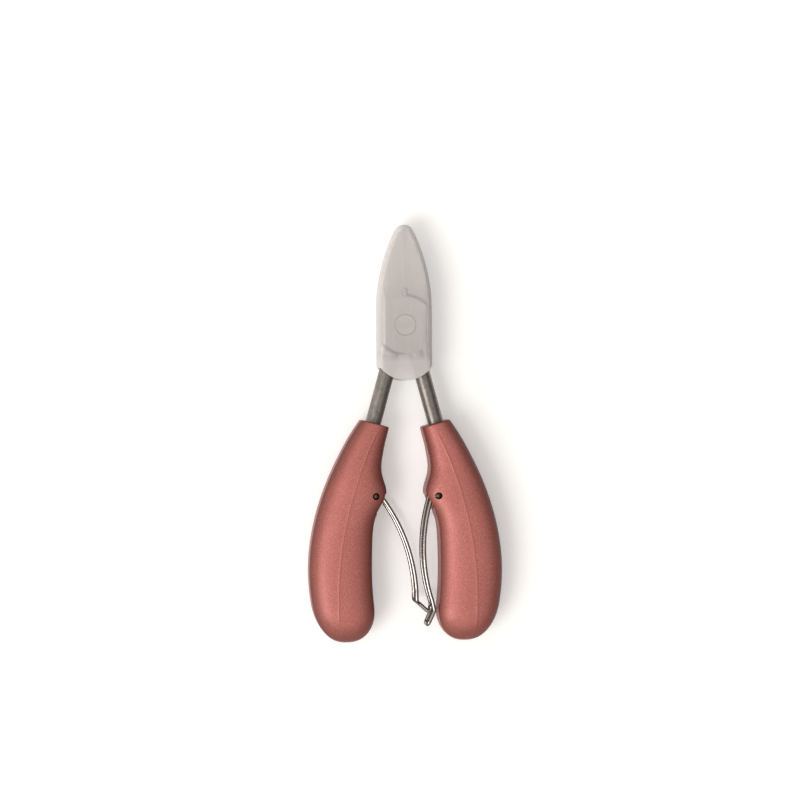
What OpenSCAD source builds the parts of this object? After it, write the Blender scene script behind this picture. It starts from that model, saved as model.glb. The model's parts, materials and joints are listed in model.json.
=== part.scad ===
/* [Pivot and jaws] */
// how far the closed jaws reach past the pivot
jaw_reach = 29.8; // [24:0.1:36]
// half-width of the two closed jaws beside the pivot
jaw_half_w = 7.3; // [6:0.1:9]
// radius of the long curve of each jaw's outer side
jaw_bow_r = 54; // [40:1:80]
// how far past the pivot the jaws start to narrow
bow_start = 5; // [0:0.5:10]
// thickness of the jaws where they leave the pivot
hub_t = 7; // [5:0.1:9]
// thickness of the jaws at their tip
tip_t = 4; // [2.5:0.1:6]
// gap left between the two cutting edges
edge_gap = 0.04; // [0.02:0.01:0.2]
// depth below the front face where the cutting edges start their back bevel
edge_land = 1.3; // [0.5:0.1:2]
// half-angle of the groove ground behind the cutting edges
bevel_angle = 24; // [10:1:40]
// radius of the round lap plates
lap_r = 9.1; // [7:0.05:10]
// air between a lap plate and the shoulder round it
lap_gap = 0.15; // [0.1:0.05:0.4]
// width of the relief notch at the foot of the cutting edges
notch_w = 1.8; // [1:0.1:3]
// how far the relief notch reaches past the pivot
notch_end = 11.6; // [10:0.1:14]
// diameter of the pivot screw's shank
screw_d = 4; // [3:0.1:5]
// diameter of the screw head and of the nut
head_d = 6.6; // [5:0.1:8]
// how far the screw head stands proud of the front face
head_proud = 0.3; // [0:0.1:0.8]

/* [Shanks] */
// lean of each shank away from the centre line, in degrees
lean = 15.3; // [10:0.1:20]
// sideways place of the shank's centre line at the height of the pivot
shank_x = 1.52; // [0:0.05:3]
// width of the bare shank
shank_w = 4.8; // [3.5:0.1:7]
// thickness of the shank and of its tang
shank_t = 5; // [3:0.1:6]
// radius that rounds the shank's edges
shank_round = 2; // [0.5:0.1:2.3]
// width of the tang inside the grip
tang_w = 4; // [2.5:0.1:5]
// length along the shank from the pivot to the end of the tang
tang_end = 78; // [60:1:88]

/* [Grips] */
// how far the grips reach behind the pivot
grip_reach = 98.6; // [90:0.1:110]
// how far behind the pivot the grips are widest
belly_y = 76.3; // [65:0.1:85]
// outermost point of a grip from the centre line
belly_out = 30.3; // [26:0.1:35]
// innermost line of a grip beside its widest point
belly_in = 10.9; // [8:0.1:14]
// height of the lobe that covers the spring's pin
lobe_h = 3.2; // [2:0.05:6]
// how far behind the pivot the lobe stands
lobe_y = 52.5; // [45:0.1:60]
// half-length of the lobe
lobe_w = 4; // [2:0.1:7]
// thickness of the grips
grip_t = 14.4; // [11:0.1:18]
// thickness of the grips at their front end
grip_top_t = 10.8; // [8:0.1:14]
// how far along the shank the grip starts
grip_start = 31.6; // [28:0.1:36]
// squareness of the crown of the grip's section, 2 being an ellipse
grip_square = 2.2; // [2:0.1:3.5]
// share of the grip's thickness taken by its flat side walls
wall_share = 0.3; // [0:0.05:0.8]
// length of the rounded end of each grip
toe_len = 12.1; // [8:0.1:18]

/* [Springs] */
// sideways place of a spring's pin
pin_x = 9.8; // [8:0.1:12]
// how far behind the pivot the pins are
pin_y = 53.1; // [48:0.1:58]
// diameter of a spring's pin
pin_d = 1.7; // [1.4:0.02:2.2]
// diameter of the hole across each grip that holds the pin
pin_hole_d = 1.74; // [1.44:0.02:2.3]
// diameter of the recess over each end of the pin
recess_d = 2.2; // [1.8:0.05:3]
// length of a spring's pin, whose ends lie sunk in the faces of its grip
pin_len = 10.6; // [8:0.1:13]
// diameter of the spring wire
wire_d = 1.2; // [0.7:0.05:1.6]
// spacing of the two legs of each spring
leg_gap = 6.4; // [4:0.1:7]
// spacing of the two wires of the narrow tongue
tongue_gap = 2; // [1.4:0.1:3]

/* [Cap] */
// wall of the soft cap
cap_wall = 0.6; // [0.5:0.05:1.2]
// room inside the cap round the jaws
cap_room = 0.45; // [0.2:0.05:0.8]
// radius of the cap's convex mouth
mouth_r = 10; // [8.5:0.5:14]
// how far the mouth reaches behind the pivot
mouth_reach = 17.1; // [14:0.1:20]
// radius that rounds the cap's long edges
cap_round = 1.6; // [0.8:0.1:3]

/* [Hidden] */
$fn = 64;

steel = [0.52, 0.50, 0.47];
bright = [0.76, 0.76, 0.76];
bronze = [0.72, 0.55, 0.32];
rose = [0.74, 0.43, 0.41];
milky = [0.76, 0.73, 0.71];

fit = 0.05;
lap_split = 0.03;
lap_hole_r = lap_r + lap_gap;
washer_t = 0.3;
washer_r = 4.5;
head_seat = hub_t / 2 - 0.9;
neck_r = 1.5;

// the cap follows the jaws with its room and its wall
cap_in_w = jaw_half_w + cap_room;
cap_in_d = hub_t / 2 + head_proud + 0.25;
cap_in_reach = jaw_reach + 0.65;
cap_reach = cap_in_reach + 0.8;

// the part stands with its middle on the Y axis and its grips on Z = 0
shift_y = (grip_reach - cap_reach) / 2;
shift_z = grip_t / 2;

// unit vector down a leaning line, a degrees round from +X
function dir(a) = [cos(a), sin(a)];

// outer and inner edge of the right grip at depth y behind the pivot
function edge_out(y) = belly_out - 0.00974 * pow(abs(y - belly_y), 1.93);
function edge_in(y) = y < belly_y
    ? belly_in - 0.00094 * pow(belly_y - y, 2.3) - lobe(y)
    : belly_in - 0.0068 * pow(y - belly_y, 1.9);
function lobe(y) = lobe_h * exp(-pow((y - lobe_y) / lobe_w, 2) / 2);

// 0 before the rounded end of the grip and 1 at its last point
function toe(y) = max(0, (y - grip_reach + toe_len) / toe_len);
function toe_scale(y) = pow(max(0, 1 - pow(toe(y), 2.3)), 1 / 2.3);
function grip_mid(y) = (edge_out(y) + edge_in(y)) / 2 + 1.2 * pow(toe(y), 3);
function grip_half_w(y) = (edge_out(y) - edge_in(y)) / 2 * toe_scale(y);

// the grip thickens from its front end to full thickness beside the pin
function thin(y) = pow(max(0, (50 - y) / 20), 1.6);
function grip_half_t(y) = (grip_t / 2 - (grip_t - grip_top_t) / 2 * thin(y)) * toe_scale(y);

// one section of the grip: a crowned front, a flat wall on each side, and a crowned back
function round_pow(v) = sign(v) * pow(abs(v), 2 / grip_square);
function crown(y, a, side) =
    [grip_mid(y) + grip_half_w(y) * round_pow(cos(a)),
     -y,
     side * grip_half_t(y) * (wall_share + (1 - wall_share) * round_pow(sin(a)))];
function grip_ring(y, count) =
    [for (i = [0:count / 2 - 1]) crown(y, 180 * i / (count / 2 - 1), 1),
     for (i = [0:count / 2 - 1]) crown(y, 180 - 180 * i / (count / 2 - 1), -1)];

// where the wire of a spring lies on its eye, and the circle that its leg follows
eye_r = pin_d / 2 + fit + wire_d / 2;
left_pin = [-pin_x, -pin_y];
right_pin = [pin_x, -pin_y];
left_end = [3.2, -85.8];
right_end = [9.1, -88.9];
shoulder_step = [0.8, -0.9];
tongue_tip = [7.5, -89.3];
curl_tip = [8.1, -87.5];
hook_tip = [6.5, -93.6];
left_bow = leg_circle(left_pin, left_end, [-1, 0]);
right_bow = leg_circle(right_pin, right_end, dir(21));

// circle through the point "end" with its centre along n from there, touching the eye from outside
function leg_circle(pin, end, n) =
    let (d = end - pin, r = (d * d - eye_r * eye_r) / (2 * (-eye_r - d * n)))
    [end[0] + r * n[0], end[1] + r * n[1], r];

// plain outline with parallel sides that bow in to a rounded tip
module tongue_outline(w, r, reach) {
    cx = r - w;
    b = reach - bow_start;
    tip_r = (r * r - cx * cx - b * b) / (2 * (r - b));
    touch = bow_start + r * (b - tip_r) / (r - tip_r);
    intersection() {
        translate([-cx, bow_start])
            circle(r = r, $fn = 360);
        translate([cx, bow_start])
            circle(r = r, $fn = 360);
        translate([-w, bow_start])
            square([2 * w, touch - bow_start]);
    }
    translate([0, reach - tip_r])
        circle(r = tip_r);
    translate([-w, -40])
        square([2 * w, 40 + bow_start]);
}

// solid of a section drawn in X and Z, carried along Y
module along_y(from, to) {
    translate([0, to, 0])
        rotate([90, 0, 0])
            linear_extrude(height = to - from)
                children();
}

// solid of a side view drawn in Y and Z, carried across the whole width
module across_x(half) {
    rotate([90, 0, 90])
        translate([0, 0, -half])
            linear_extrude(height = 2 * half)
                children();
}

module rounded_section(w, d, r) {
    translate([-w + r, -d])
        square([2 * (w - r), 2 * d]);
    translate([-w, -d + r])
        square([2 * w, 2 * (d - r)]);
    for (sx = [-1, 1])
        for (sz = [-1, 1])
            translate([sx * (w - r), sz * (d - r)])
                circle(r = r);
}

// plan of one jaw, on the left of the centre line
module jaw_plan() {
    intersection() {
        tongue_outline(jaw_half_w, jaw_bow_r, jaw_reach);
        translate([-20, 0])
            square([20 - edge_gap / 2, 40]);
    }
}

// bare shank with rounded edges, and the slimmer tang that the grip covers
module shank() {
    translate([shank_x, 0, 0])
        rotate([0, 0, lean]) {
            along_y(-grip_start - 1, -4)
                rounded_section(shank_w / 2, shank_t / 2, shank_round);
            linear_extrude(height = shank_t - 0.6, center = true) {
                translate([-tang_w / 2, -tang_end + tang_w / 2])
                    square([tang_w, tang_end - grip_start - tang_w / 2]);
                translate([0, -tang_end + tang_w / 2])
                    circle(r = tang_w / 2);
            }
        }
}

module hub_plan() {
    intersection() {
        circle(r = lap_r);
        square([2 * jaw_half_w, 40], center = true);
    }
}

// side view of the jaws, thinning to the tip
module jaw_side() {
    h = hub_t / 2;
    e = tip_t / 2;
    polygon([[-20, -h], [8, -h], [jaw_reach, -e], [jaw_reach, e], [8, h], [-20, h]]);
}

// relief at the foot of the cutting edges, shared by both jaws
module notch() {
    r = notch_w / 2;
    linear_extrude(height = 20, center = true) {
        translate([0, notch_end - r])
            circle(r = r);
        translate([-r, lap_hole_r - 0.1])
            square([notch_w, notch_end - r - lap_hole_r + 0.1]);
    }
}

// full-thickness jaw and shank outside the lap circle, joined by the front lap plate
module lever() {
    difference() {
        union() {
            intersection() {
                union() {
                    linear_extrude(height = hub_t, center = true)
                        difference() {
                            jaw_plan();
                            circle(r = lap_hole_r);
                        }
                    translate([0, 0, lap_split])
                        linear_extrude(height = hub_t / 2 - lap_split) {
                            jaw_plan();
                            hub_plan();
                        }
                }
                across_x(60)
                    jaw_side();
                along_y(-20, 60)
                    rounded_section(jaw_half_w, hub_t / 2, 1.2);
            }
            difference() {
                shank();
                translate([0, 0, lap_split - 10])
                    cylinder(r = lap_hole_r, h = 10);
            }
        }
        notch();
        cylinder(r = screw_d / 2 + fit, h = 20, center = true);
        translate([0, 0, head_seat])
            cylinder(r = head_d / 2 + 0.12, h = 10);
        translate([0, 0, -1])
            cylinder(r = washer_r + 0.1, h = 1 + washer_t / 2 + fit);
    }
}

// groove behind the cutting edges, the same for both levers
module back_bevel() {
    apex = tip_t / 2 - edge_land;
    drop = hub_t;
    along_y(-1, 60)
        polygon([[0, apex], [drop * tan(bevel_angle), apex - drop], [-drop * tan(bevel_angle), apex - drop]]);
}

module front_lever() {
    color(steel)
        difference() {
            lever();
            intersection() {
                back_bevel();
                translate([-20, lap_hole_r, -20])
                    cube([40, 60, 40]);
            }
        }
}

module rear_lever() {
    color(steel)
        difference() {
            rotate([0, 180, 0])
                lever();
            intersection() {
                back_bevel();
                translate([-20, lap_hole_r, -20])
                    cube([40, 60, 40]);
            }
        }
}

module pivot_screw() {
    head_top = hub_t / 2 + head_proud;
    color(steel)
        difference() {
            union() {
                translate([0, 0, head_seat])
                    cylinder(r = head_d / 2, h = head_top - head_seat - 0.25);
                translate([0, 0, head_top - 0.25])
                    cylinder(r1 = head_d / 2, r2 = head_d / 2 - 0.25, h = 0.25);
                translate([0, 0, -head_seat])
                    cylinder(r = screw_d / 2, h = 2 * head_seat);
                translate([0, 0, -hub_t / 2])
                    cylinder(r = neck_r, h = hub_t / 2 - head_seat + 0.1);
            }
            translate([-10, -0.4, head_top - 0.7])
                cube([20, 0.8, 2]);
        }
}

module pivot_nut() {
    head_top = hub_t / 2 + head_proud;
    color(steel)
        difference() {
            union() {
                translate([0, 0, -head_top + 0.25])
                    cylinder(r = head_d / 2, h = head_top - head_seat - 0.25);
                translate([0, 0, -head_top])
                    cylinder(r1 = head_d / 2 - 0.25, r2 = head_d / 2, h = 0.25);
            }
            cylinder(r = neck_r + 0.02, h = 20, center = true);
            for (sx = [-1, 1])
                translate([sx * 2.25, 0, -head_top - 1])
                    cylinder(r = 0.4, h = 1.6, $fn = 24);
        }
}

module friction_washer() {
    color(bronze)
        difference() {
            cylinder(r = washer_r, h = washer_t, center = true);
            cylinder(r = screw_d / 2 + fit, h = 4, center = true);
        }
}

// solid grip, a run of rounded sections closed by one point at the toe
module grip_blank() {
    count = 42;
    straight = 28;
    toes = 10;
    top_y = 26;
    toe_y = grip_reach - toe_len;
    ys = [for (i = [0:straight]) top_y + (toe_y - top_y) * i / straight,
        for (i = [1:toes - 1]) toe_y + toe_len * sin(90 * i / toes)];
    n = len(ys);
    points = [for (y = ys) each grip_ring(y, count), [grip_mid(grip_reach), -grip_reach, 0]];
    lid = [[for (i = [0:count - 1]) i]];
    walls = [for (k = [0:n - 2]) for (i = [0:count - 1])
        let (a = k * count + i, b = k * count + (i + 1) % count)
        each [[a, a + count, b], [b, a + count, b + count]]];
    fan = [for (i = [0:count - 1])
        [(n - 1) * count + i, n * count, (n - 1) * count + (i + 1) % count]];
    polyhedron(points = points, faces = concat(lid, walls, fan), convexity = 6);
}

// passage in the grip for the spring's eyes and for the swing of its legs
module spring_slot() {
    room = eye_r + wire_d / 2 + 0.3;
    swing = 150;
    linear_extrude(height = leg_gap + wire_d + 0.8, center = true)
        translate(right_pin) {
            circle(r = room);
            polygon([room * dir(180 - swing + 90), room * dir(180 - swing + 90) + 12 * dir(-swing),
                12 * dir(-95), [0, 0]]);
        }
}

module grip() {
    difference() {
        grip_blank();
        translate([shank_x, 0, 0])
            rotate([0, 0, lean])
                translate([-30, -grip_start, -20])
                    cube([60, 40, 40]);
        shank();
        translate([pin_x, -pin_y, 0])
            cylinder(r = pin_hole_d / 2, h = 40, center = true);
        for (s = [-1, 1])
            translate([pin_x, -pin_y, s * (pin_len / 2 + 5)])
                cylinder(r = recess_d / 2, h = 10, center = true);
        spring_slot();
    }
}

module left_grip() {
    color(rose)
        mirror([1, 0, 0])
            grip();
}

module right_grip() {
    color(rose)
        grip();
}

module spring_pin() {
    cylinder(r = pin_d / 2, h = pin_len, center = true);
}

module left_spring_pin() {
    color(steel)
        translate(left_pin)
            spring_pin();
}

module right_spring_pin() {
    color(steel)
        translate(right_pin)
            spring_pin();
}

// straight wire from a to b
module wire(a, b, r = wire_d / 2) {
    v = b - a;
    len = norm(v);
    translate(a)
        rotate([0, acos(v[2] / len), atan2(v[1], v[0])])
            cylinder(r = r, h = len, $fn = 32);
}

// small ball that rounds a bend of the wire
module bend(p) {
    translate(p)
        sphere(r = wire_d / 2 + 0.06, $fn = 32);
}

// eye round the pin and bowed leg, at height z
module leg(pin, bow, end, z) {
    to_pin = atan2(pin[1] - bow[1], pin[0] - bow[0]);
    to_end = atan2(end[1] - bow[1], end[0] - bow[0]);
    sweep = to_end - to_pin;
    turn = sweep > 180 ? sweep - 360 : sweep < -180 ? sweep + 360 : sweep;
    lead = sign(turn) * 1.2 / bow[2] * 180 / PI;
    translate([pin[0], pin[1], z])
        difference() {
            cylinder(r = eye_r + wire_d / 2 + 0.06, h = wire_d + 0.12, center = true);
            cylinder(r = pin_d / 2 + fit, h = 4, center = true);
        }
    translate([bow[0], bow[1], z])
        rotate([0, 0, to_pin + lead])
            rotate_extrude(angle = turn - lead, $fn = 360)
                translate([bow[2], 0])
                    circle(r = wire_d / 2, $fn = 32);
    bend([end[0], end[1], z]);
}

module left_spring() {
    half = leg_gap / 2;
    narrow = tongue_gap / 2;
    shoulder = left_end + shoulder_step;
    color(bright) {
        for (s = [-1, 1]) {
            leg(left_pin, left_bow, left_end, s * half);
            wire([left_end[0], left_end[1], s * half], [shoulder[0], shoulder[1], s * narrow]);
            bend([shoulder[0], shoulder[1], s * narrow]);
            wire([shoulder[0], shoulder[1], s * narrow], [tongue_tip[0], tongue_tip[1], s * narrow]);
            bend([tongue_tip[0], tongue_tip[1], s * narrow]);
            wire([tongue_tip[0], tongue_tip[1], s * narrow], [curl_tip[0], curl_tip[1], s * narrow]);
            bend([curl_tip[0], curl_tip[1], s * narrow]);
        }
        wire([curl_tip[0], curl_tip[1], -narrow], [curl_tip[0], curl_tip[1], narrow], wire_d / 2 - 0.02);
    }
}

module right_spring() {
    half = leg_gap / 2;
    color(bright) {
        for (s = [-1, 1]) {
            leg(right_pin, right_bow, right_end, s * half);
            wire([right_end[0], right_end[1], s * half], [hook_tip[0], hook_tip[1], s * half]);
            bend([hook_tip[0], hook_tip[1], s * half]);
        }
        wire([hook_tip[0], hook_tip[1], -half], [hook_tip[0], hook_tip[1], half], wire_d / 2 - 0.02);
    }
}

// solid tongue: plan, side view and rounded section in common
module cap_solid(w, d, tip_d, r, reach, corner, mouth) {
    intersection() {
        linear_extrude(height = 40, center = true)
            intersection() {
                tongue_outline(w, r, reach);
                union() {
                    translate([0, mouth_r - mouth_reach])
                        circle(r = mouth ? mouth_r : 30);
                    translate([-w, mouth_r - mouth_reach])
                        square([2 * w, 60]);
                }
            }
        across_x(60)
            polygon([[-40, -d], [8, -d], [reach, -tip_d], [reach, tip_d], [8, d], [-40, d]]);
        along_y(-40, 60)
            rounded_section(w, d, corner);
    }
}

module protective_cap() {
    in_tip = tip_t / 2 + 0.6;
    color(milky)
        difference() {
            cap_solid(cap_in_w + cap_wall, cap_in_d + cap_wall, in_tip + cap_wall, jaw_bow_r + 2,
                cap_reach, cap_round, true);
            cap_solid(cap_in_w, cap_in_d, in_tip, jaw_bow_r + 1.2, cap_in_reach, cap_round - cap_wall, false);
        }
}

module placed() {
    translate([0, shift_y, shift_z])
        children();
}

placed() front_lever();
placed() rear_lever();
placed() pivot_screw();
placed() pivot_nut();
placed() friction_washer();
placed() left_grip();
placed() right_grip();
placed() left_spring_pin();
placed() right_spring_pin();
placed() left_spring();
placed() right_spring();
placed() protective_cap();
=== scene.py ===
"""Nail nipper, closed, on its back under its soft cap: looks built round the CAD frame."""
import json
import math

import bmesh
import bpy
from mathutils import Matrix, Vector


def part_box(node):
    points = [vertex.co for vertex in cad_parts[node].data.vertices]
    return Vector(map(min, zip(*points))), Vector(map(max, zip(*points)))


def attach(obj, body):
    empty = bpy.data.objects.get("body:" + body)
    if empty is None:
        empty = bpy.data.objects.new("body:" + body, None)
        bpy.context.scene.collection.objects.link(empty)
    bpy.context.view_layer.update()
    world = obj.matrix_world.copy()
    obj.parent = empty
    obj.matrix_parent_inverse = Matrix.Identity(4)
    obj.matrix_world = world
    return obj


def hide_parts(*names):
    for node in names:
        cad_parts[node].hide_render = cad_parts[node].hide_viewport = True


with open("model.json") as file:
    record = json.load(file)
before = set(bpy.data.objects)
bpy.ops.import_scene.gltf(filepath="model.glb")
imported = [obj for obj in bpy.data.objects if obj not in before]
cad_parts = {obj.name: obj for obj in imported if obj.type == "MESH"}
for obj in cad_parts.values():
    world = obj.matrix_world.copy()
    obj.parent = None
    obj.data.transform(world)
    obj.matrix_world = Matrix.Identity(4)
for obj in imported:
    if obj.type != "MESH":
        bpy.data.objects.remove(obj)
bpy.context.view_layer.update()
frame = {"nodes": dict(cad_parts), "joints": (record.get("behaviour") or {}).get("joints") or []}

MM = 0.001
JOINTS = {j["name"]: j for j in frame["joints"]}
PIVOT = Vector(JOINTS["front_open"]["pos_m"])
LEFT_PIN = (Vector(JOINTS["left_spring_swing"]["pos_m"]) - PIVOT) / MM
RIGHT_PIN = (Vector(JOINTS["right_spring_swing"]["pos_m"]) - PIVOT) / MM


def at(x, y, z):
    """A point given in millimetres from the pivot, in the row frame."""
    return PIVOT + Vector((x, y, z)) * MM


# ---------------------------------------------------------------- mesh helpers

def make_object(name, points, faces, sharp=35.0):
    """Mesh object from points in mm from the pivot, doubled points merged, normals outwards."""
    mesh = bpy.data.meshes.new(name)
    mesh.from_pydata([at(*p) for p in points], [], faces)
    bm = bmesh.new()
    bm.from_mesh(mesh)
    bmesh.ops.remove_doubles(bm, verts=bm.verts, dist=1e-7)
    bmesh.ops.recalc_face_normals(bm, faces=bm.faces)
    bm.to_mesh(mesh)
    bm.free()
    obj = bpy.data.objects.new(name, mesh)
    bpy.context.collection.objects.link(obj)
    soften(obj, sharp)
    return obj


def soften(obj, sharp):
    """Smooth shading, but for edges over sharp degrees."""
    mesh = obj.data
    for poly in mesh.polygons:
        poly.use_smooth = True
    mesh.set_sharp_from_angle(angle=math.radians(sharp))


def tube_of_rings(rings):
    """Points and faces of a skin over rings of equal length, closed at both ends."""
    n = len(rings[0])
    points = [p for ring in rings for p in ring]
    faces = []
    for k in range(len(rings) - 1):
        for i in range(n):
            j = (i + 1) % n
            faces.append((k * n + i, k * n + j, (k + 1) * n + j, (k + 1) * n + i))
    last = (len(rings) - 1) * n
    faces.append(tuple(range(n))[::-1])
    faces.append(tuple(range(last, last + n)))
    return points, faces


def carve(obj, cutters, sharp):
    """Cuts the cutters out of obj for good and removes them."""
    for c in cutters:
        m = obj.modifiers.new("cut", "BOOLEAN")
        m.operation = "DIFFERENCE"
        m.solver = "EXACT"
        m.object = c
    bpy.context.view_layer.update()
    dg = bpy.context.evaluated_depsgraph_get()
    mesh = bpy.data.meshes.new_from_object(obj.evaluated_get(dg))
    obj.modifiers.clear()
    obj.data = mesh
    for c in cutters:
        bpy.data.objects.remove(c)
    soften(obj, sharp)


def lathe(name, profile, centre, segments, axis=None):
    """Solid of revolution about a line through centre, along Z unless an axis is given."""
    turn = Vector(axis if axis else (0, 0, 1)).to_track_quat("Z", "Y")
    rings = []
    for r, z in profile:
        ring = []
        for i in range(segments):
            a = 2 * math.pi * i / segments
            offset = turn @ Vector((r * math.cos(a), r * math.sin(a), z))
            ring.append(tuple(Vector(centre) + offset))
        rings.append(ring)
    points, faces = tube_of_rings(rings)
    return make_object(name, points, faces)


def prism(name, outline, half):
    """Upright prism over a plan, from half under the pivot's plane to half over it."""
    rings = [[(x, y, z) for x, y in outline] for z in (-half, half)]
    points, faces = tube_of_rings(rings)
    return make_object(name, points, faces)


def smoothstep(v):
    """0 up to v = 0, 1 from v = 1, and an S-curve between."""
    v = min(1.0, max(0.0, v))
    return v * v * (3 - 2 * v)


# ---------------------------------------------------------------- materials

WHITE = (1.0, 1.0, 1.0)
LEAN = math.radians(15.3)    # of both levers against the tool's axis


def grey(value):
    return (value,) * 3


def new_material(name, base, roughness, metallic=0.0, **sockets):
    m = bpy.data.materials.new(name)
    m.use_nodes = True
    bsdf = m.node_tree.nodes["Principled BSDF"]
    bsdf.inputs["Base Color"].default_value = (*base, 1)
    bsdf.inputs["Roughness"].default_value = roughness
    bsdf.inputs["Metallic"].default_value = metallic
    for key, value in sockets.items():
        bsdf.inputs[key.replace("_", " ")].default_value = value
    return m, m.node_tree, bsdf


def noise(tree, scale, detail=4.0, stretch=(1, 1, 1), rough=0.6, rotate=0.0):
    """Noise fixed to the object, drawn out by stretch along axes turned by rotate."""
    coord = tree.nodes.new("ShaderNodeTexCoord")
    mapping = tree.nodes.new("ShaderNodeMapping")
    mapping.inputs["Scale"].default_value = stretch
    mapping.inputs["Rotation"].default_value = (0, 0, rotate)
    tex = tree.nodes.new("ShaderNodeTexNoise")
    tex.inputs["Scale"].default_value = scale
    tex.inputs["Detail"].default_value = detail
    tex.inputs["Roughness"].default_value = rough
    tree.links.new(coord.outputs["Object"], mapping.inputs["Vector"])
    tree.links.new(mapping.outputs["Vector"], tex.inputs["Vector"])
    return tex.outputs["Fac"]


def ramp(tree, value, stops):
    r = tree.nodes.new("ShaderNodeValToRGB")
    while len(r.color_ramp.elements) < len(stops):
        r.color_ramp.elements.new(0.5)
    for e, (pos, col) in zip(r.color_ramp.elements, stops):
        e.position = pos
        e.color = (*col, 1)
    tree.links.new(value, r.inputs["Fac"])
    return r.outputs["Color"]


def mix(tree, a, b, factor, kind="MIX"):
    n = tree.nodes.new("ShaderNodeMix")
    n.data_type = "RGBA"
    n.blend_type = kind
    for socket, value in ((n.inputs["Factor"], factor), (n.inputs["A"], a), (n.inputs["B"], b)):
        if isinstance(value, (int, float, tuple)):
            socket.default_value = value
        else:
            tree.links.new(value, socket)
    return n.outputs["Result"]


def bump(tree, bsdf, height, strength, distance, under=None):
    """Bump on bsdf, laid over the normal of an earlier one if under is given."""
    b = tree.nodes.new("ShaderNodeBump")
    b.inputs["Strength"].default_value = strength
    b.inputs["Distance"].default_value = distance
    tree.links.new(height, b.inputs["Height"])
    if under is not None:
        tree.links.new(under, b.inputs["Normal"])
    tree.links.new(b.outputs["Normal"], bsdf.inputs["Normal"])
    return b.outputs["Normal"]


def calc(tree, kind, a, b=None):
    """One Math node; a and b are sockets or plain numbers."""
    node = tree.nodes.new("ShaderNodeMath")
    node.operation = kind
    for socket, value in zip(node.inputs, (a, b)):
        if isinstance(value, (int, float)):
            socket.default_value = value
        elif value is not None:
            tree.links.new(value, socket)
    return node.outputs[0]


def fade(tree, value, start, end, low=0.0, high=1.0):
    """low at start and before it, high at end and past it."""
    span = tree.nodes.new("ShaderNodeMapRange")
    for socket, limit in (("From Min", start), ("From Max", end), ("To Min", low), ("To Max", high)):
        span.inputs[socket].default_value = limit
    tree.links.new(value, span.inputs["Value"])
    return span.outputs["Result"]


def along_axes(tree, kind="Object"):
    """X, Y and Z of the place in the row frame, or of the surface's own normal."""
    coord = tree.nodes.new("ShaderNodeTexCoord")
    split = tree.nodes.new("ShaderNodeSeparateXYZ")
    tree.links.new(coord.outputs[kind], split.inputs[0])
    return split.outputs["X"], split.outputs["Y"], split.outputs["Z"]


def height_mask(tree, low, high):
    """0 nearer the middle plane of the tool than low, 1 farther from it than high, in mm."""
    z = along_axes(tree)[2]
    height = calc(tree, "ABSOLUTE", calc(tree, "SUBTRACT", z, PIVOT.z))
    return fade(tree, height, low * MM, high * MM)


def facing(tree):
    """0 where the surface faces the viewer, 1 where it is seen edge on."""
    edge = tree.nodes.new("ShaderNodeLayerWeight")
    edge.inputs["Blend"].default_value = 0.5
    return edge.outputs["Facing"]


def slope(tree):
    """0 where the surface lies flat like the table, 1 where it stands upright."""
    z = along_axes(tree, "Normal")[2]
    return calc(tree, "SUBTRACT", 1.0, calc(tree, "ABSOLUTE", z))


def turned_away(tree):
    """The lesser of facing and slope: high where the surface stands upright and is seen edge on,
    which is where the painted shade goes.
    """
    return calc(tree, "MINIMUM", facing(tree), slope(tree))


def grip_material():
    """Rose pearl plastic: fine mica grain, and painted shade that darkens the crown as it turns away.
    """
    m, t, b = new_material("rose_pearl", (0.55, 0.185, 0.160), 0.40, 0.15,
                           Specular_IOR_Level=0.22)
    fine = noise(t, 3200, 2.0, rough=0.7)
    broad = noise(t, 60, 3.0)
    grain = ramp(t, fine, [(0.30, (0.41, 0.118, 0.098)), (0.52, (0.51, 0.165, 0.140)),
                           (0.74, (0.66, 0.265, 0.230))])
    tone = ramp(t, broad, [(0.3, grey(0.93)), (0.7, WHITE)])
    grain = mix(t, grain, tone, 1.0, "MULTIPLY")
    # painted shade: the crown darkens where it turns away from the view and stands upright
    flank_shade = ramp(t, turned_away(t), [(0.0, WHITE), (0.03, (0.93, 0.925, 0.92)),
                                     (0.06, (0.80, 0.785, 0.775)), (0.12, (0.64, 0.61, 0.595)),
                                     (0.26, (0.50, 0.455, 0.435)), (0.52, (0.27, 0.22, 0.205)),
                                     (0.85, (0.16, 0.125, 0.115))])
    dark = mix(t, grain, flank_shade, 1.0, "MULTIPLY")
    red = ramp(t, broad, [(0.3, (0.97, 0.76, 0.72)), (0.7, (1.0, 0.79, 0.75))])
    # the upright walls get 0.35 of the painted shade and a redder tint; the crown above them gets all
    # of it
    wall = mix(t, mix(t, grain, dark, 0.35), red, 1.0, "MULTIPLY")
    t.links.new(mix(t, wall, dark, height_mask(t, 2.2, 3.0)), b.inputs["Base Color"])
    low = bump(t, b, noise(t, 900, 2.0), 0.25, 0.03 * MM)
    bump(t, b, fine, 0.35, 0.02 * MM, low)
    return m


def span_of(tree, a, b):
    """Length of the vector whose two parts are a and b."""
    return calc(tree, "SQRT", calc(tree, "ADD", calc(tree, "MULTIPLY", a, a),
                                   calc(tree, "MULTIPLY", b, b)))


SEAM_IN, SEAM_OUT = 8.5, 10.1        # radii of the lap's seam, in mm from the pivot
SEAM_LOW, SEAM_HIGH = 5.6, 6.8       # it fades in between these distances from the X axis
NOTCH_X, NOTCH_Y = -0.2, 10.1        # middle of the relief notch
NOTCH_HALF_X, NOTCH_HALF_Y = 0.95, 1.45


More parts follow.
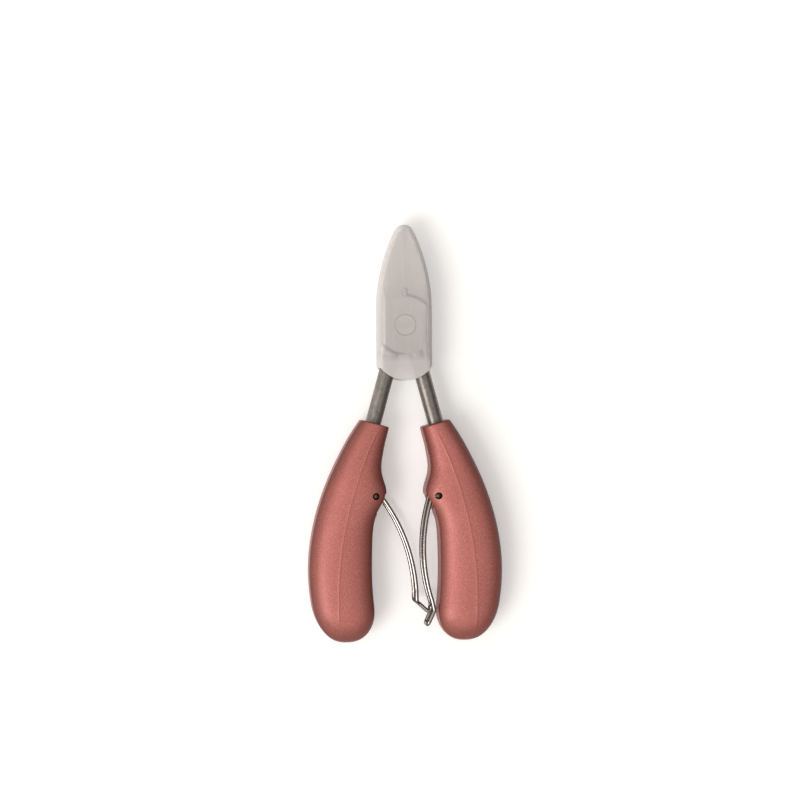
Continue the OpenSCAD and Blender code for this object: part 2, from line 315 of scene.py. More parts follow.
def seam_shade_mask(tree):
    """1 in the painted shade along the lap's round seam and in the relief notch, else 0."""
    x, y, z = (calc(tree, "SUBTRACT", part, own) for part, own in zip(along_axes(tree), PIVOT))
    ring = ramp(tree, fade(tree, span_of(tree, x, y), SEAM_IN * MM, SEAM_OUT * MM),
                [(0.0, grey(0.0)), (0.32, grey(0.75)), (0.55, grey(0.75)), (1.0, grey(0.0))])
    # the front shows the seam upper right and lower left, the back the other way round
    side = calc(tree, "MULTIPLY", calc(tree, "MULTIPLY", x, y), calc(tree, "SIGN", z))
    sector = calc(tree, "MULTIPLY", fade(tree, side, 0.0, 6 * MM * MM),
                  fade(tree, calc(tree, "ABSOLUTE", y), SEAM_LOW * MM, SEAM_HIGH * MM))
    across = calc(tree, "DIVIDE", calc(tree, "SUBTRACT", x, NOTCH_X * MM), NOTCH_HALF_X * MM)
    along = calc(tree, "DIVIDE", calc(tree, "SUBTRACT", y, NOTCH_Y * MM), NOTCH_HALF_Y * MM)
    notch = fade(tree, span_of(tree, across, along), 1.1, 0.6)
    return calc(tree, "MAXIMUM", calc(tree, "MULTIPLY", ring, sector), notch)


def steel_material(name, lean):
    """Forged steel: satin ground jaws and hub, darker drawn shanks with a mottled skin."""
    m, t, b = new_material(name, (0.34, 0.32, 0.30), 0.36, 1.0)
    streak = noise(t, 700, 4.0, (1.0, 0.12, 1.0), 0.6, lean)
    grain = noise(t, 2600, 3.0, rough=0.7)
    mottle = noise(t, 700, 4.0, rough=0.7)
    drawn = ramp(t, streak, [(0.32, (0.282, 0.256, 0.232)), (0.68, (0.357, 0.327, 0.298))])
    drawn = mix(t, drawn, ramp(t, mottle, [(0.35, (0.72, 0.70, 0.68)), (0.65, WHITE)]),
                1.0, "MULTIPLY")
    ground = ramp(t, streak, [(0.35, (0.75, 0.727, 0.705)), (0.65, (0.85, 0.828, 0.80))])
    fleck = ramp(t, grain, [(0.35, grey(0.82)), (0.65, WHITE)])
    y = along_axes(t)[1]
    # the grinding ends on the shanks, just under the hub
    is_ground = fade(t, y, PIVOT.y - 12.5 * MM, PIVOT.y - 9 * MM)
    # the lap plates are a shade darker than the ground jaws
    plate = ramp(t, fade(t, y, PIVOT.y + 13 * MM, PIVOT.y + 9 * MM),
                 [(0.0, WHITE), (1.0, (0.87, 0.865, 0.865))])
    ground = mix(t, ground, plate, 1.0, "MULTIPLY")
    skin = mix(t, mix(t, drawn, ground, is_ground), fleck, 1.0, "MULTIPLY")
    # painted shade darkens the steel in the lap's seam and in the relief notch
    seam_shade = ramp(t, seam_shade_mask(t), [(0.0, WHITE), (1.0, (0.28, 0.28, 0.31))])
    t.links.new(mix(t, skin, seam_shade, 1.0, "MULTIPLY"), b.inputs["Base Color"])
    rough = ramp(t, grain, [(0.3, grey(0.36)), (0.7, grey(0.52))])
    t.links.new(rough, b.inputs["Roughness"])
    low = bump(t, b, streak, 0.12, 0.03 * MM)
    bump(t, b, mottle, 0.45, 0.04 * MM, low)
    return m


def wire_material():
    """Bright drawn wire with painted shade down both its sides."""
    m, t, b = new_material("bright_wire", (0.8, 0.76, 0.73), 0.19, 1.0)
    drawn = noise(t, 500, 3.0)
    tone = ramp(t, drawn, [(0.35, (0.37, 0.338, 0.315)), (0.65, (0.45, 0.413, 0.386))])
    # painted shade where the wire turns away from the view
    flank_shade = ramp(t, turned_away(t), [(0.06, WHITE), (0.22, (0.40, 0.365, 0.34)),
                                     (0.45, (0.24, 0.21, 0.19)), (0.8, (0.14, 0.12, 0.108))])
    t.links.new(mix(t, tone, flank_shade, 1.0, "MULTIPLY"), b.inputs["Base Color"])
    bump(t, b, drawn, 0.03, 0.01 * MM)
    return m


def plain_metal(name, low, high, roughness):
    """Turned metal with a fine grain between two tones."""
    m, t, b = new_material(name, low, roughness, 1.0)
    n = noise(t, 2200, 3.0)
    t.links.new(ramp(t, n, [(0.35, low), (0.65, high)]), b.inputs["Base Color"])
    bump(t, b, n, 0.2, 0.02 * MM)
    return m


SKIRT_ALPHA, BODY_ALPHA = 0.52, 0.25     # how opaque the cap is at its mouth and above it
SLANT_ALPHA = 0.55                       # what is added where the wall is seen edge on


def cap_material():
    """Soft milky vinyl that lets the joint show through faintly."""
    m, t, b = new_material("milky_cap", (0.78, 0.73, 0.70), 0.5, 0.0,
                           Alpha=0.31, IOR=1.4, Specular_IOR_Level=0.3)
    cloud = noise(t, 90, 4.0)
    milk = ramp(t, cloud, [(0.3, (0.78, 0.735, 0.705)), (0.7, (0.83, 0.782, 0.75))])
    pale = ramp(t, cloud, [(0.3, (0.93, 0.88, 0.85)), (0.7, (0.98, 0.93, 0.90))])
    y = along_axes(t)[1]
    paleness = fade(t, y, PIVOT.y - 8 * MM, PIVOT.y + 26 * MM)
    # painted shade: the cap's walls darken where they stand upright and are seen edge on
    side = ramp(t, turned_away(t), [(0.0, WHITE), (0.3, grey(0.91)), (0.8, grey(0.78))])
    t.links.new(mix(t, mix(t, milk, pale, paleness), side, 1.0, "MULTIPLY"),
                b.inputs["Base Color"])
    skirt = fade(t, y, PIVOT.y - 11.5 * MM, PIVOT.y - 9 * MM, SKIRT_ALPHA, BODY_ALPHA)
    slant = calc(t, "MULTIPLY", facing(t), SLANT_ALPHA)
    t.links.new(calc(t, "MINIMUM", calc(t, "ADD", slant, skirt), 1.0), b.inputs["Alpha"])
    bump(t, b, noise(t, 260, 3.0), 0.04, 0.06 * MM)
    return m


ROSE = grip_material()
STEEL_FRONT = steel_material("forged_steel_front", -LEAN)
STEEL_REAR = steel_material("forged_steel_rear", LEAN)
WIRE = wire_material()
SCREW = plain_metal("turned_steel", (0.62, 0.60, 0.585), (0.71, 0.69, 0.67), 0.38)
PIN = plain_metal("dark_pin", (0.10, 0.09, 0.085), (0.17, 0.155, 0.145), 0.4)
BRONZE = plain_metal("washer_bronze", (0.50, 0.33, 0.15), (0.62, 0.44, 0.22), 0.35)
MILKY = cap_material()


def dress(obj, material, body=None, replaces=None):
    """Gives obj its material, and says what it rides on and the node it stands for."""
    obj.data.materials.clear()
    obj.data.materials.append(material)
    if body:
        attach(obj, body)
    if replaces:
        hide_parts(replaces)


# ---------------------------------------------------------------- camera

YAW = math.radians(8.0)      # the camera stands to the left of the tool
ROLL = math.radians(-0.3)
REACH = 590 * MM
LENS, SENSOR = 85, 36
back = Vector((-math.sin(YAW), 0, math.cos(YAW)))
cam_data = bpy.data.cameras.new("camera")
cam_data.lens = LENS
cam_data.sensor_width = SENSOR
camera = bpy.data.objects.new("camera", cam_data)
bpy.context.collection.objects.link(camera)
up = Matrix.Rotation(ROLL, 3, back) @ Vector((0, 1, 0))
right = up.cross(back)
PIVOT_RIGHT = 1.23 * MM      # where the pivot stands from the middle of the picture
PIVOT_UP = 23.34 * MM
aim = PIVOT - right * PIVOT_RIGHT - up * PIVOT_UP
camera.matrix_world = Matrix.Translation(aim + back * REACH) @ Matrix(
    (right, up, back)).transposed().to_4x4()
cam_data.clip_start = 0.01
cam_data.clip_end = 20
bpy.context.scene.camera = camera

# ---------------------------------------------------------------- grips

GRIP_START, GRIP_REACH = 31.6, 98.6      # down the lever to the cut top, down the tool to the butt
SKIN_START = 30.5            # the skin starts above the cut that ends it
SHANK_X = 1.52
COLLAR_LEN, COLLAR_SPREAD = 12.0, 1.2
TOE_LEN, TOE_POWER, TOE_LEAN = 12.1, 2.3, 1.2
BELLY_Y, BELLY_IN = 76.3, 10.9
BELLY_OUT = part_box("right_grip")[1].x / MM
OUT_BEND, OUT_POWER = 0.00974, 1.93      # how each edge of the plan bends away from the belly
TOP_BEND, TOP_POWER = 0.00094, 2.3
BUTT_BEND, BUTT_POWER = 0.0068, 1.9
LOBE_Y, LOBE_OUT, LOBE_SPREAD = 52.5, 3.2, 4.0
RIDGE = 0.08                 # height of the fine mould line along each crown
HALF_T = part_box("right_grip")[1].z / MM / 2 - RIDGE
TOP_HALF_T = 5.4
THIN_FROM, THIN_LEN, THIN_POWER = 50.0, 20.0, 1.6
WALL = 0.3                   # the upright wall's share of the half thickness
SQUARE = 2.2                 # how square the crown's section is
STEP_IN = 0.035              # the crown ends this share short of the inner edge, over a taller wall
STEP_TOP, STEP_TOP_LEN, STEP_BUTT, STEP_BUTT_LEN = 36.0, 5.0, 95.0, 6.0
LINE_X, LINE_Y, LINE_BEND, LINE_POWER = 21.6, 84.0, 0.0057, 1.95
LINE_LIMIT = 0.6
RIDGE_STEPS, RIDGE_GAP = (0.012, 0.028, 0.05), 0.075
RIDGE_TOP, RIDGE_TOP_LEN, RIDGE_BUTT, RIDGE_BUTT_LEN = 31.0, 4.0, 96.5, 5.0
CROWN_ROWS, WALL_ROWS, LONG_ROWS, TOE_ROWS = 22, 6, 150, 30
RIM, RIM_ROWS, RIM_CLEAR = 0.45, 6, 0.1      # rounding round the cut top, and room under it
CREASE = 28.0                # edges of the grip sharper than this stay crisp


def lobe(y):
    """How far the lobe round the spring's pin stands out of the inner edge."""
    return LOBE_OUT * math.exp(-((y - LOBE_Y) / LOBE_SPREAD) ** 2 / 2)


def edge_out(y):
    return BELLY_OUT - OUT_BEND * abs(y - BELLY_Y) ** OUT_POWER


def edge_in(y):
    if y < BELLY_Y:
        return BELLY_IN - TOP_BEND * (BELLY_Y - y) ** TOP_POWER - lobe(y)
    return BELLY_IN - BUTT_BEND * (y - BELLY_Y) ** BUTT_POWER


def toe(y):
    """0 down to where the butt starts to close, 1 at its end."""
    return max(0.0, (y - GRIP_REACH + TOE_LEN) / TOE_LEN)


def toe_scale(y):
    return max(0.0, 1 - toe(y) ** TOE_POWER) ** (1 / TOE_POWER)


def half_thickness(y):
    thinner = max(0.0, (THIN_FROM - y) / THIN_LEN) ** THIN_POWER
    return (HALF_T - (HALF_T - TOP_HALF_T) * thinner) * toe_scale(y)


def crown_share(u, y):
    """How much of the crown's height stands over the side wall, u from -1 inside to 1 outside."""
    squeeze = 1.0
    if u < 0:
        squeeze = 1 - (STEP_IN * smoothstep((y - STEP_TOP) / STEP_TOP_LEN)
                       * smoothstep((STEP_BUTT - y) / STEP_BUTT_LEN))
    return max(0.0, 1 - abs(u * squeeze) ** SQUARE) ** (1 / SQUARE)


def line_u(y):
    """Where the fine mould line runs along the crown."""
    x = LINE_X - LINE_BEND * max(0.0, LINE_Y - y) ** LINE_POWER
    middle, half = (edge_out(y) + edge_in(y)) / 2, (edge_out(y) - edge_in(y)) / 2
    return min(LINE_LIMIT, max(-LINE_LIMIT, (x - middle) / half))


def crown_us(y):
    """Places across the crown, dense at both edges and at the mould line."""
    mid = line_u(y)
    inner = [-math.cos(math.pi / 2 * i / CROWN_ROWS) for i in range(CROWN_ROWS)]
    inner = [-1 + (v + 1) * (mid - RIDGE_GAP + 1) for v in inner]
    ridge = [mid - s for s in reversed(RIDGE_STEPS)] + [mid] + [mid + s for s in RIDGE_STEPS]
    outer = [math.sin(math.pi / 2 * (i + 1) / CROWN_ROWS) for i in range(CROWN_ROWS)]
    outer = [mid + RIDGE_GAP + v * (1 - mid - RIDGE_GAP) for v in outer]
    return inner + ridge + outer


def ridge_height(steps_from_mid):
    return RIDGE * {0: 1.0, 1: 0.8, 2: 0.33}.get(abs(steps_from_mid), 0.0)


def grip_section(depth):
    """One ring of the grip's skin; its plane tilts square to the shank towards the top."""
    tilt = 1 - smoothstep((depth - SKIN_START) / COLLAR_LEN)
    spread = COLLAR_SPREAD * tilt
    x_in = edge_in(depth + spread)
    x_out = edge_out(depth - spread)
    mid = (x_in + x_out) / 2 + TOE_LEAN * toe(depth) ** 3
    half = (x_out - x_in) / 2 * toe_scale(depth)
    t = half_thickness(depth)
    ridge = (smoothstep((depth - RIDGE_TOP) / RIDGE_TOP_LEN)
             * smoothstep((RIDGE_BUTT - depth) / RIDGE_BUTT_LEN))
    centre = CROWN_ROWS + len(RIDGE_STEPS)
    front = []
    for i, u in enumerate(crown_us(depth)):
        x = mid + half * u
        z = t * (WALL + (1 - WALL) * crown_share(u, depth)) + ridge_height(i - centre) * ridge
        y = -depth + tilt * (x - mid) * math.tan(LEAN)
        front.append((x, y, z))
    rear = [(x, y, -z) for x, y, z in reversed(front)]
    shares = [1 - 2 * k / WALL_ROWS for k in range(1, WALL_ROWS)]
    wall_out = [(front[-1][0], front[-1][1], front[-1][2] * f) for f in shares]
    wall_in = [(front[0][0], front[0][1], -front[0][2] * f) for f in shares]
    return front + wall_out + rear + wall_in


def over_cut(p):
    """How far, along the tool, p stands over the plane that cuts the grip's top."""
    top_x, top_y = SHANK_X + GRIP_START * math.sin(LEAN), -GRIP_START * math.cos(LEAN)
    return p[1] - top_y - (p[0] - top_x) * math.tan(LEAN)


def outline_under_cut(rings, depth):
    """The skin's own outline at that depth under the cut."""
    outline = []
    for column in zip(*rings):
        for p, q in zip(column, column[1:]):
            a, b = over_cut(p) + depth, over_cut(q) + depth
            if a >= 0 > b:
                outline.append(Vector(p).lerp(Vector(q), a / (a - b)))
                break
    return outline


def rounded_rim(edge, shoulder):
    """Rings from the flat top over its rounded rim down to the side."""
    centre = sum(edge, Vector()) / len(edge)
    rings = []
    for k in range(RIM_ROWS + 1):
        a = math.pi / 2 * k / RIM_ROWS
        inset, drop = RIM * (1 - math.sin(a)), 1 - math.cos(a)
        rings.append([tuple(p.lerp(q, drop) + (centre - p).normalized() * inset)
                      for p, q in zip(edge, shoulder)])
    return rings


def grip_rings():
    """The right grip's skin from its cut top to the tip of its butt."""
    toe_start = GRIP_REACH - TOE_LEN
    depths = [SKIN_START + (toe_start - SKIN_START) * i / LONG_ROWS for i in range(LONG_ROWS + 1)]
    depths += [toe_start + TOE_LEN * math.sin(math.pi / 2 * i / TOE_ROWS) for i in range(1, TOE_ROWS)]
    rings = [grip_section(depth) for depth in depths]
    edge = outline_under_cut(rings, 0.0)
    top = rounded_rim(edge, outline_under_cut(rings, RIM))
    keep = [r for r in rings if max(over_cut(p) for p in r) < -RIM - RIM_CLEAR]
    tip_x = sum(p[0] for p in keep[-1]) / len(keep[-1])
    return top + keep + [[(tip_x, -GRIP_REACH, 0.0)] * len(edge)]


SLOT_ROOM, SLOT_HALF = 2.25, 4.2         # round room for a spring's eyes, and its half height
SWING_FROM = math.radians(-95)
RIGHT_SWING_TO, LEFT_SWING_TO = math.radians(-141), math.radians(-150)
RECESS_R, HOLE_SIDES = 1.1, 48
THROUGH = 12.0               # a cutter that long passes right through
MOUTH_PROFILE = [(0.9, -0.3), (1.1, -0.12), (1.3, 0.08), (1.3, 1.0)]
MOUTH_Z, MOUTH_TILT = 6.52, 0.27         # the chamfer sits where the crown meets the recess


def slot_outline(swing_to):
    """Plan of the passage for the swing of a spring's legs, from the right pin outwards."""
    pin = Vector((RIGHT_PIN.x, RIGHT_PIN.y))
    side = pin + SLOT_ROOM * Vector((math.sin(swing_to), -math.cos(swing_to)))
    outer = side + THROUGH * Vector((math.cos(swing_to), math.sin(swing_to)))
    inner = pin + THROUGH * Vector((math.cos(SWING_FROM), math.sin(SWING_FROM)))
    return [tuple(side), tuple(outer), tuple(inner), tuple(pin)]


def make_grip(name, side, swing_to):
    """One grip, side 1 for the right one and -1 for its mirror image on the left."""
    points, faces = tube_of_rings(grip_rings())
    obj = make_object(name, [(side * x, y, z) for x, y, z in points], faces, CREASE)
    px, py = side * RIGHT_PIN.x, RIGHT_PIN.y
    cutters = [lathe("hole", [(RECESS_R, -THROUGH), (RECESS_R, THROUGH)], (px, py, 0), HOLE_SIDES)]
    tilt = Vector((-side * MOUTH_TILT, 0, 1)).normalized()
    for mouth, face in (("mouth", 1), ("back_mouth", -1)):
        cutters.append(lathe(mouth, MOUTH_PROFILE, (px, py, face * MOUTH_Z), HOLE_SIDES,
                             (tilt.x, 0, face * tilt.z)))
    cutters.append(lathe("room", [(SLOT_ROOM, -SLOT_HALF), (SLOT_ROOM, SLOT_HALF)],
                         (px, py, 0), HOLE_SIDES))
    plan = [(side * x, y) for x, y in slot_outline(swing_to)]
    cutters.append(prism("passage", plan, SLOT_HALF))
    carve(obj, cutters, CREASE)
    return obj


dress(make_grip("grip_right", 1, RIGHT_SWING_TO), ROSE, "front_half", "right_grip")
dress(make_grip("grip_left", -1, LEFT_SWING_TO), ROSE, "rear_half", "left_grip")

# ---------------------------------------------------------------- springs and pins

WIRE_R, WIRE_SIDES, WIRE_CREASE = 0.6, 20, 60
DOME, DOME_ROWS, POINT_R = 0.35, 4, 0.02     # the wire's domed ends
MIN_STEP, ARC_STEP = 0.04, 0.2               # along the wire
EYE_R = 1.5
EYE_TURN, EYE_ROWS, BOW_ROWS = math.radians(315), 36, 60
LEG = 3.2                    # height of each leg over and under the middle plane
LEG_KEPT_OFF = 6             # points at the leg's end that give way to the first bend
STRAIGHT, MOST_CUT = math.radians(175), 0.48     # no bend from here; share of a side a bend may take


def bow_circle(pin, end, n):
    """Circle through the leg's end, square to n there, that touches the eye round the pin."""
    d = Vector((end[0] - pin.x, end[1] - pin.y))
    r = (d.length_squared - EYE_R ** 2) / (2 * (-EYE_R - d.dot(Vector(n))))
    return end[0] + r * n[0], end[1] + r * n[1], r


def rounded_path(corners, radius):
    """Polyline through the corners with each inner corner turned on an arc of that radius."""
    out = [Vector(corners[0])]
    for a, b, c in zip(corners, corners[1:], corners[2:]):
        a, b, c = Vector(a), Vector(b), Vector(c)
        u, v = (a - b).normalized(), (c - b).normalized()
        angle = u.angle(v)
        if angle > STRAIGHT:
            out.append(b)
            continue
        shorter = min((a - b).length, (c - b).length)
        cut = min(radius / math.tan(angle / 2), shorter * MOST_CUT)
        r = cut * math.tan(angle / 2)
        middle = b + (u + v).normalized() * (r / math.sin(angle / 2))
        p, q = b + u * cut - middle, b + v * cut - middle
        turns = max(3, int(r * (math.pi - angle) / ARC_STEP))
        for k in range(turns + 1):
            f = k / turns
            out.append(middle + p.slerp(q, f) if p.length > 1e-9 else b)
    out.append(Vector(corners[-1]))
    return out


def eye_and_leg(pin, end, n, z):
    """The eye round the pin and the bowed leg down to its end, at height z."""
    cx, cy, r = bow_circle(pin, end, n)
    to_pin = math.atan2(pin.y - cy, pin.x - cx)
    to_end = math.atan2(end[1] - cy, end[0] - cx)
    turn = (to_end - to_pin + math.pi) % (2 * math.pi) - math.pi
    sense = 1 if turn > 0 else -1
    path = []
    for k in range(EYE_ROWS):
        a = to_pin - sense * EYE_TURN * (1 - k / EYE_ROWS)
        path.append(Vector((pin.x + EYE_R * math.cos(a), pin.y + EYE_R * math.sin(a), z)))
    for k in range(BOW_ROWS + 1):
        a = to_pin + turn * k / BOW_ROWS
        path.append(Vector((cx + r * math.cos(a), cy + r * math.sin(a), z)))
    return path


def wire_ring(centre, tangent, normal, radius):
    side = tangent.cross(normal)
    turns = [2 * math.pi * k / WIRE_SIDES for k in range(WIRE_SIDES)]
    return [tuple(centre + (normal * math.cos(t) + side * math.sin(t)) * radius) for t in turns]


def wire_dome(end, tangent, normal, way):
    """Rings of a domed end, from its point to the full wire; way is 1 along the tangent."""
    rings = []
    for k in range(DOME_ROWS):
        a = math.pi / 2 * k / DOME_ROWS
        centre = end + way * tangent * WIRE_R * DOME * math.cos(a)
        rings.append(wire_ring(centre, tangent, normal, max(POINT_R, WIRE_R * math.sin(a))))
    return rings


def sweep(name, raw_path):
    """Round wire along a path, its ends domed."""
    path = [raw_path[0]]
    for p in raw_path[1:]:
        if (p - path[-1]).length > MIN_STEP:
            path.append(p)
    befores, afters = path[:1] + path[:-1], path[1:] + path[-1:]
    tangents = [(b - a).normalized() for a, b in zip(befores, afters)]
    normal = tangents[0].orthogonal().normalized()
    rings = wire_dome(path[0], tangents[0], normal, -1)
    for p, t in zip(path, tangents):
        normal = (normal - t * normal.dot(t)).normalized()
        rings.append(wire_ring(p, t, normal, WIRE_R))
    rings += wire_dome(path[-1], tangents[-1], normal, 1)[::-1]
    points, faces = tube_of_rings(rings)
    return make_object(name, points, faces, WIRE_CREASE)


def spring_path(pin, end, n, tail, bend):
    """From one eye down its leg, round the tail and back up to the other eye."""
    top = eye_and_leg(pin, end, n, LEG)
    kept, near = top[:-LEG_KEPT_OFF], top[-LEG_KEPT_OFF]
    corners = [near, top[-1]] + [Vector(p) for p in tail]
    corners += [Vector((p.x, p.y, -p.z)) for p in reversed(corners)]
    low = [Vector((p.x, p.y, -p.z)) for p in reversed(kept)]
    return kept + rounded_path(corners, bend) + low


TONGUE = 1.0                 # the left wire narrows to this height over the middle plane
LEFT_END, LEFT_WAY, LEFT_BEND = (3.2, -85.8), (-1, 0), 0.8
LEFT_TAIL = [(4.0, -86.7, TONGUE), (7.5, -89.3, TONGUE), (8.1, -87.5, TONGUE)]
RIGHT_LEAN = math.radians(21)
RIGHT_WAY = (math.cos(RIGHT_LEAN), math.sin(RIGHT_LEAN))
RIGHT_END, RIGHT_BEND = (9.1, -88.9), 1.3
RIGHT_TAIL = [(6.5, -93.6, LEG)]
left_path = spring_path(LEFT_PIN, LEFT_END, LEFT_WAY, LEFT_TAIL, LEFT_BEND)
right_path = spring_path(RIGHT_PIN, RIGHT_END, RIGHT_WAY, RIGHT_TAIL, RIGHT_BEND)
dress(sweep("spring_left", left_path), WIRE, "left_wire", "left_spring")
dress(sweep("spring_right", right_path), WIRE, "right_wire", "right_spring")

PIN_END, PIN_SIDES = 5.3, 40             # half the pin's length, and the facets round it
PIN_DOME = [(0.02, 0.0), (0.5, 0.03), (0.74, 0.14), (0.84, 0.3)]     # radius, depth under the end
PIN_PROFILE = [(r, drop - PIN_END) for r, drop in PIN_DOME]
PIN_PROFILE += [(r, PIN_END - drop) for r, drop in reversed(PIN_DOME)]
dress(lathe("pin_left", PIN_PROFILE, LEFT_PIN, PIN_SIDES), PIN,
      "rear_half", "left_spring_pin")
dress(lathe("pin_right", PIN_PROFILE, RIGHT_PIN, PIN_SIDES), PIN,
      "front_half", "right_spring_pin")

# ---------------------------------------------------------------- levers, screw, nut and washer

FLAT_ANGLE, EDGE_ANGLE, EDGE_ROWS = math.radians(0.5), math.radians(35), 3
LEVER_EDGE, SCREW_EDGE, WASHER_EDGE = 0.25, 0.08, 0.05


def finish_node(node, material, edge_width):
    """Dresses a CAD node where it stands, and breaks its edges by edge_width millimetres."""
    obj = frame["nodes"][node]
    dress(obj, material)
    flat = obj.modifiers.new("flat", "DECIMATE")
    flat.decimate_type = "DISSOLVE"
    flat.angle_limit = FLAT_ANGLE
    edge = obj.modifiers.new("edge", "BEVEL")
    edge.width = edge_width * MM
    edge.segments = EDGE_ROWS
    edge.limit_method = "ANGLE"
    edge.angle_limit = EDGE_ANGLE
    edge.harden_normals = True


finish_node("front_lever", STEEL_FRONT, LEVER_EDGE)
finish_node("rear_lever", STEEL_REAR, LEVER_EDGE)
finish_node("pivot_screw", SCREW, SCREW_EDGE)
finish_node("pivot_nut", SCREW, SCREW_EDGE)
finish_node("friction_washer", BRONZE, WASHER_EDGE)

# ---------------------------------------------------------------- cap

CAP_W, CAP_D, CAP_TIP_D = 8.35, 4.65, 3.2
CAP_R, CAP_REACH, BOW_Y = 56.0, 31.25, 5.0
CAP_WALL, CAP_TIP_WALL = 0.6, 0.8
CAP_CORNER = 1.6
CAP_THIN_FROM = 8.0          # from here to the tip the depth falls from CAP_D to CAP_TIP_D
SKIRT_TOP, SKIRT_ROWS, TIP_ROWS = -5.0, 12, 60
MOUTH_R, MOUTH_REACH = 10.0, 17.1        # the mouth's bow, and how far down it hangs
LIP, LIP_ROWS = 0.12, 5
CAP_CREASE = 50
MOST_ROUND = 0.85            # a corner takes no more than this share of a half side


def tongue_half(y, w, r, reach):
    """Half-width of the tongue outline at y."""
    if y <= BOW_Y:
        return w
    cx, b = r - w, reach - BOW_Y
    tip_r = (r * r - cx * cx - b * b) / (2 * (r - b))
    touch = BOW_Y + r * (b - tip_r) / (r - tip_r)
    if y < touch:
        return math.sqrt(r * r - (y - BOW_Y) ** 2) - cx
    return math.sqrt(max(0.0, tip_r ** 2 - (y - reach + tip_r) ** 2))


def rounded_ring(half, depth, corner, flat=14, bend=8, wall=6):
    """Rounded rectangle in X and Z, from the right-hand wall round by the front."""
    corner = min(corner, half * MOST_ROUND, depth * MOST_ROUND)
    ring = []
    for sx, sz, start in ((1, 1, 0), (-1, 1, 90), (-1, -1, 180), (1, -1, 270)):
        for k in range(bend + 1):
            a = math.radians(start + 90 * k / bend)
            ring.append((sx * (half - corner) + corner * math.cos(a),
                         sz * (depth - corner) + corner * math.sin(a)))
        n = flat if start in (0, 180) else wall
        x0, z0 = ring[-1]
        x1 = x0 if n == wall else -x0
        z1 = -z0 if n == wall else z0
        ring += [(x0 + (x1 - x0) * k / n, z0 + (z1 - z0) * k / n) for k in range(1, n)]
    return ring


def cap_skin(w, d, tip_d, r, reach, corner):
    """Rings of one skin of the cap from its mouth to its tip."""

    def section(y):
        half = tongue_half(y, w, r, reach)
        along = max(0.0, (y - CAP_THIN_FROM) / (reach - CAP_THIN_FROM))
        depth = d + (tip_d - d) * along
        end = max(0.0, (y - (reach - corner)) / corner)
        depth -= corner * (1 - math.sqrt(max(0.0, 1 - end * end)))
        return rounded_ring(max(half, 0.05), depth, corner)

    rings = []
    for k in range(SKIRT_ROWS + 1):
        ring = []
        for x, z in section(0):
            mouth = MOUTH_R - MOUTH_REACH - math.sqrt(MOUTH_R ** 2 - x * x)
            ring.append((x, mouth + (SKIRT_TOP - mouth) * k / SKIRT_ROWS, z))
        rings.append(ring)
    ys = [SKIRT_TOP + i for i in range(1, 1 + round(BOW_Y - SKIRT_TOP))]
    ys += [BOW_Y + (reach - BOW_Y) * math.sin(math.pi / 2 * i / TIP_ROWS) for i in range(1, TIP_ROWS)]
    return rings + [[(x, y, z) for x, z in section(y)] for y in ys]


def make_cap():
    """The cap's inner skin, its rounded lip and its outer skin in one closed mesh."""
    outer = cap_skin(CAP_W, CAP_D, CAP_TIP_D, CAP_R, CAP_REACH, CAP_CORNER)
    inner = cap_skin(CAP_W - CAP_WALL, CAP_D - CAP_WALL, CAP_TIP_D - CAP_WALL,
                     CAP_R - CAP_TIP_WALL, CAP_REACH - CAP_TIP_WALL, CAP_CORNER - CAP_WALL)
    lip = []
    for k in range(1, LIP_ROWS):
        f = k / LIP_ROWS
        out = math.sin(math.pi * f) * LIP
        lip.append([tuple(Vector(a).lerp(Vector(b), f) - Vector((0, out, 0)))
                    for a, b in zip(outer[0], inner[0])])
    rings = inner[::-1] + lip[::-1] + outer
    points, faces = tube_of_rings(rings)
    return make_object("cap", points, faces, CAP_CREASE)


dress(make_cap(), MILKY, "cap", "protective_cap")

# ---------------------------------------------------------------- floor and light

LIGHT_TONE = (1.0, 0.985, 0.965)
FLOOR_HALF, FLOOR_DROP, FLOOR_LIFT = 6.0, 0.1 * MM, 0.28
SKY_BRIGHT = (-0.75, -0.25, 0.61)        # high on the left, where the photo's light comes from
SKY_STRENGTH = 1.02
KEY_PLACE, KEY_SIZE, KEY_POWER = (-1.05, -0.62, 1.40), 0.85, 16.0


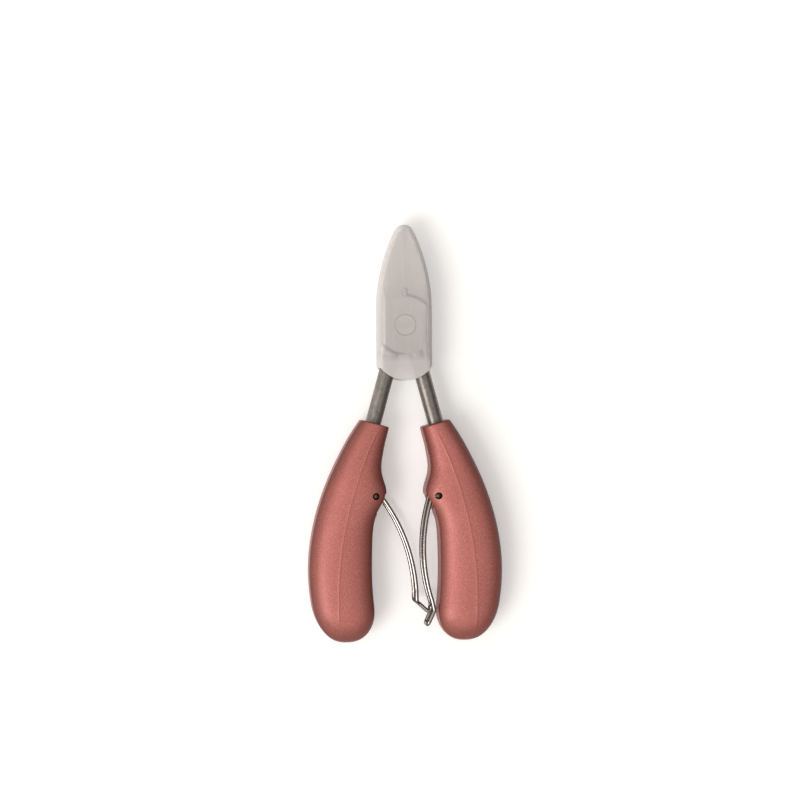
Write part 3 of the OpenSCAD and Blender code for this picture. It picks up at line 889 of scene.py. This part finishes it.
def floor_material():
    """Pale floor that stays this pale for whatever looks at it, without more light on the tool."""
    m, t, b = new_material("pale_floor", (0.86, 0.85, 0.835), 0.7)
    path = t.nodes.new("ShaderNodeLightPath")
    seen = path.outputs["Is Camera Ray"]
    for ray in ("Is Glossy Ray", "Is Transmission Ray"):
        seen = calc(t, "MAXIMUM", seen, path.outputs[ray])
    b.inputs["Emission Color"].default_value = (*LIGHT_TONE, 1)
    t.links.new(calc(t, "MULTIPLY", seen, FLOOR_LIFT), b.inputs["Emission Strength"])
    return m


def make_floor():
    mesh = bpy.data.meshes.new("floor")
    corners = [(-1, -1), (1, -1), (1, 1), (-1, 1)]
    mesh.from_pydata([(x * FLOOR_HALF, y * FLOOR_HALF, 0) for x, y in corners], [], [(0, 1, 2, 3)])
    obj = bpy.data.objects.new("floor", mesh)
    obj.location.z = -FLOOR_DROP
    bpy.context.collection.objects.link(obj)
    mesh.materials.append(floor_material())


def make_sky():
    """A room that is brightest on the key lamp's side and dim low on the other."""
    world = bpy.data.worlds.new("studio")
    bpy.context.scene.world = world
    world.use_nodes = True
    t = world.node_tree
    coord = t.nodes.new("ShaderNodeTexCoord")
    side = t.nodes.new("ShaderNodeVectorMath")
    side.operation = "DOT_PRODUCT"
    side.inputs[1].default_value = SKY_BRIGHT
    t.links.new(coord.outputs["Generated"], side.inputs[0])
    tone = ramp(t, side.outputs["Value"], [(0.0, (0.22, 0.217, 0.212)), (0.30, (0.38, 0.374, 0.367)),
                                           (0.55, (0.90, 0.887, 0.869)), (0.85, LIGHT_TONE)])
    t.links.new(tone, t.nodes["Background"].inputs["Color"])
    t.nodes["Background"].inputs["Strength"].default_value = SKY_STRENGTH


def make_key_lamp():
    """A square soft box, turned to the frame's origin."""
    data = bpy.data.lights.new("key", "AREA")
    data.shape = "RECTANGLE"
    data.size = data.size_y = KEY_SIZE
    data.energy = KEY_POWER
    data.color = LIGHT_TONE
    lamp = bpy.data.objects.new("key", data)
    lamp.location = KEY_PLACE
    lamp.rotation_euler = (-Vector(KEY_PLACE)).to_track_quat("-Z", "Y").to_euler()
    bpy.context.collection.objects.link(lamp)


make_floor()
make_sky()
make_key_lamp()

bpy.context.scene.view_settings.view_transform = "Standard"
